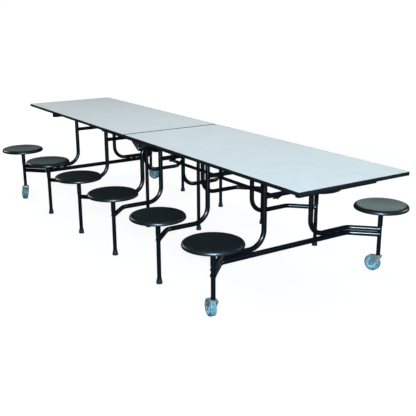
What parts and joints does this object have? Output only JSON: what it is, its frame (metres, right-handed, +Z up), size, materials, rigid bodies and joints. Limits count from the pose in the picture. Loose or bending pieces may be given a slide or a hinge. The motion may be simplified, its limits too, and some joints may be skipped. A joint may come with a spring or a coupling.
{
  "type": "folding table with attached swivel stools",
  "caption": "Long folding dining table in two hinged leaves on bent tube frames, with round swivel stools fixed to the frames and casters under its ends.",
  "frame": {"origin": "floor level, under the middle of the table", "axes": "+X along the table, +Y across it, +Z up"},
  "size_m": [3.658, 1.546, 0.737],
  "materials": {
    "laminate": "light grey laminate on board",
    "edge_black": "black edge moulding",
    "frame_black": "black powder coat, semi-gloss",
    "zinc": "zinc plated steel",
    "foot_rubber": "black rubber boot",
    "seat_plastic": "black moulded plastic, fine texture",
    "wheel_grey": "blue-grey caster tyre"
  },
  "bodies": {
    "leaf_left": {"leaf_core_left": "laminate", "edge_band_left": "edge_black", "pivot_brackets_left": "frame_black", "pivot_pins_left": "zinc", "hinge_plates_left": "frame_black", "under_battens_left": "frame_black", "hinge_pins": "zinc"},
    "end_frame_left": {"end_frame_left": "frame_black"},
    "mid_frame_left": {"mid_frame_left": "frame_black", "mid_feet_left": "foot_rubber"},
    "centre_frame_left": {"centre_frame_left": "frame_black", "centre_feet_left": "foot_rubber"},
    "link_rod_left": {"link_rod_left": "frame_black", "link_pins_left": "zinc"},
    "seat_left_end_near": {"seat_left_end_near": "seat_plastic", "seat_stem_left_end_near": "frame_black"},
    "seat_left_end_far": {"seat_left_end_far": "seat_plastic", "seat_stem_left_end_far": "frame_black"},
    "seat_left_mid_near": {"seat_left_mid_near": "seat_plastic", "seat_stem_left_mid_near": "frame_black"},
    "seat_left_mid_far": {"seat_left_mid_far": "seat_plastic", "seat_stem_left_mid_far": "frame_black"},
    "seat_left_centre_near": {"seat_left_centre_near": "seat_plastic", "seat_stem_left_centre_near": "frame_black"},
    "seat_left_centre_far": {"seat_left_centre_far": "seat_plastic", "seat_stem_left_centre_far": "frame_black"},
    "caster_left_near": {"caster_fork_left_near": "zinc"},
    "wheel_left_near": {"caster_wheel_left_near": "wheel_grey"},
    "caster_left_far": {"caster_fork_left_far": "zinc"},
    "wheel_left_far": {"caster_wheel_left_far": "wheel_grey"},
    "leaf_right": {"leaf_core_right": "laminate", "edge_band_right": "edge_black", "pivot_brackets_right": "frame_black", "pivot_pins_right": "zinc", "hinge_plates_right": "frame_black", "under_battens_right": "frame_black"},
    "end_frame_right": {"end_frame_right": "frame_black"},
    "mid_frame_right": {"mid_frame_right": "frame_black", "mid_feet_right": "foot_rubber"},
    "centre_frame_right": {"centre_frame_right": "frame_black", "centre_feet_right": "foot_rubber"},
    "link_rod_right": {"link_rod_right": "frame_black", "link_pins_right": "zinc"},
    "seat_right_end_near": {"seat_right_end_near": "seat_plastic", "seat_stem_right_end_near": "frame_black"},
    "seat_right_end_far": {"seat_right_end_far": "seat_plastic", "seat_stem_right_end_far": "frame_black"},
    "seat_right_mid_near": {"seat_right_mid_near": "seat_plastic", "seat_stem_right_mid_near": "frame_black"},
    "seat_right_mid_far": {"seat_right_mid_far": "seat_plastic", "seat_stem_right_mid_far": "frame_black"},
    "seat_right_centre_near": {"seat_right_centre_near": "seat_plastic", "seat_stem_right_centre_near": "frame_black"},
    "seat_right_centre_far": {"seat_right_centre_far": "seat_plastic", "seat_stem_right_centre_far": "frame_black"},
    "caster_right_near": {"caster_fork_right_near": "zinc"},
    "wheel_right_near": {"caster_wheel_right_near": "wheel_grey"},
    "caster_right_far": {"caster_fork_right_far": "zinc"},
    "wheel_right_far": {"caster_wheel_right_far": "wheel_grey"}
  },
  "joints": [
    {"name": "fold", "type": "hinge", "parent": "end_frame_left", "child": "leaf_left", "pos_m": [-1.3, 0, 0.69], "axis": [0, -1, 0], "range_deg": [0, 90]},
    {"name": "mid_frame_left_pivot", "type": "hinge", "parent": "leaf_left", "child": "mid_frame_left", "pos_m": [-0.725, 0, 0.69], "axis": [0, -1, 0], "range_deg": [-90, 0]},
    {"name": "centre_frame_left_pivot", "type": "hinge", "parent": "leaf_left", "child": "centre_frame_left", "pos_m": [-0.135, 0, 0.69], "axis": [0, -1, 0], "range_deg": [-90, 0]},
    {"name": "centre_hinge", "type": "hinge", "parent": "leaf_left", "child": "leaf_right", "pos_m": [0, 0, 0.63], "axis": [0, -1, 0], "range_deg": [-180, 0]},
    {"name": "centre_frame_right_pivot", "type": "hinge", "parent": "leaf_right", "child": "centre_frame_right", "pos_m": [0.135, 0, 0.69], "axis": [0, -1, 0], "range_deg": [0, 90]},
    {"name": "mid_frame_right_pivot", "type": "hinge", "parent": "leaf_right", "child": "mid_frame_right", "pos_m": [0.725, 0, 0.69], "axis": [0, -1, 0], "range_deg": [0, 90]},
    {"name": "end_frame_right_pivot", "type": "hinge", "parent": "leaf_right", "child": "end_frame_right", "pos_m": [1.3, 0, 0.69], "axis": [0, -1, 0], "range_deg": [0, 90]},
    {"name": "link_rod_left_pivot", "type": "hinge", "parent": "end_frame_left", "child": "link_rod_left", "pos_m": [-1.26, 0.06, 0.538], "axis": [0, -1, 0], "range_deg": [0, 90]},
    {"name": "link_rod_right_pivot", "type": "hinge", "parent": "end_frame_right", "child": "link_rod_right", "pos_m": [1.26, -0.06, 0.538], "axis": [0, -1, 0], "range_deg": [-90, 0]},
    {"name": "seat_swivel_left_end_near", "type": "hinge", "parent": "end_frame_left", "child": "seat_left_end_near", "pos_m": [-1.44, -0.608, 0.4], "axis": [0, 0, 1], "continuous": true},
    {"name": "seat_swivel_left_end_far", "type": "hinge", "parent": "end_frame_left", "child": "seat_left_end_far", "pos_m": [-1.44, 0.608, 0.4], "axis": [0, 0, 1], "continuous": true},
    {"name": "seat_swivel_left_mid_near", "type": "hinge", "parent": "mid_frame_left", "child": "seat_left_mid_near", "pos_m": [-0.865, -0.608, 0.4], "axis": [0, 0, 1], "continuous": true},
    {"name": "seat_swivel_left_mid_far", "type": "hinge", "parent": "mid_frame_left", "child": "seat_left_mid_far", "pos_m": [-0.865, 0.608, 0.4], "axis": [0, 0, 1], "continuous": true},
    {"name": "seat_swivel_left_centre_near", "type": "hinge", "parent": "centre_frame_left", "child": "seat_left_centre_near", "pos_m": [-0.275, -0.608, 0.4], "axis": [0, 0, 1], "continuous": true},
    {"name": "seat_swivel_left_centre_far", "type": "hinge", "parent": "centre_frame_left", "child": "seat_left_centre_far", "pos_m": [-0.275, 0.608, 0.4], "axis": [0, 0, 1], "continuous": true},
    {"name": "caster_swivel_left_near", "type": "hinge", "parent": "end_frame_left", "child": "caster_left_near", "pos_m": [-1.44, -0.608, 0.107], "axis": [0, 0, 1], "continuous": true},
    {"name": "wheel_spin_left_near", "type": "hinge", "parent": "caster_left_near", "child": "wheel_left_near", "pos_m": [-1.40882, -0.626, 0.05], "axis": [0.5, 0.866, 0], "continuous": true},
    {"name": "caster_swivel_left_far", "type": "hinge", "parent": "end_frame_left", "child": "caster_left_far", "pos_m": [-1.44, 0.608, 0.107], "axis": [0, 0, 1], "continuous": true},
    {"name": "wheel_spin_left_far", "type": "hinge", "parent": "caster_left_far", "child": "wheel_left_far", "pos_m": [-1.40882, 0.626, 0.05], "axis": [-0.5, 0.866, 0], "continuous": true},
    {"name": "seat_swivel_right_end_near", "type": "hinge", "parent": "end_frame_right", "child": "seat_right_end_near", "pos_m": [1.44, -0.608, 0.4], "axis": [0, 0, 1], "continuous": true},
    {"name": "seat_swivel_right_end_far", "type": "hinge", "parent": "end_frame_right", "child": "seat_right_end_far", "pos_m": [1.44, 0.608, 0.4], "axis": [0, 0, 1], "continuous": true},
    {"name": "seat_swivel_right_mid_near", "type": "hinge", "parent": "mid_frame_right", "child": "seat_right_mid_near", "pos_m": [0.865, -0.608, 0.4], "axis": [0, 0, 1], "continuous": true},
    {"name": "seat_swivel_right_mid_far", "type": "hinge", "parent": "mid_frame_right", "child": "seat_right_mid_far", "pos_m": [0.865, 0.608, 0.4], "axis": [0, 0, 1], "continuous": true},
    {"name": "seat_swivel_right_centre_near", "type": "hinge", "parent": "centre_frame_right", "child": "seat_right_centre_near", "pos_m": [0.275, -0.608, 0.4], "axis": [0, 0, 1], "continuous": true},
    {"name": "seat_swivel_right_centre_far", "type": "hinge", "parent": "centre_frame_right", "child": "seat_right_centre_far", "pos_m": [0.275, 0.608, 0.4], "axis": [0, 0, 1], "continuous": true},
    {"name": "caster_swivel_right_near", "type": "hinge", "parent": "end_frame_right", "child": "caster_right_near", "pos_m": [1.44, -0.608, 0.107], "axis": [0, 0, 1], "continuous": true},
    {"name": "wheel_spin_right_near", "type": "hinge", "parent": "caster_right_near", "child": "wheel_right_near", "pos_m": [1.40479, -0.60052, 0.05], "axis": [0.2079, 0.9781, 0], "continuous": true},
    {"name": "caster_swivel_right_far", "type": "hinge", "parent": "end_frame_right", "child": "caster_right_far", "pos_m": [1.44, 0.608, 0.107], "axis": [0, 0, 1], "continuous": true},
    {"name": "wheel_spin_right_far", "type": "hinge", "parent": "caster_right_far", "child": "wheel_right_far", "pos_m": [1.40479, 0.60052, 0.05], "axis": [-0.2079, 0.9781, 0], "continuous": true}
  ],
  "couplings": [
    {"joint": "mid_frame_left_pivot", "follows": "fold", "ratio": -1},
    {"joint": "centre_frame_left_pivot", "follows": "fold", "ratio": -1},
    {"joint": "centre_hinge", "follows": "fold", "ratio": -2},
    {"joint": "centre_frame_right_pivot", "follows": "fold", "ratio": 1},
    {"joint": "mid_frame_right_pivot", "follows": "fold", "ratio": 1},
    {"joint": "end_frame_right_pivot", "follows": "fold", "ratio": 1},
    {"joint": "link_rod_left_pivot", "follows": "fold", "ratio": 1},
    {"joint": "link_rod_right_pivot", "follows": "fold", "ratio": -1}
  ]
}
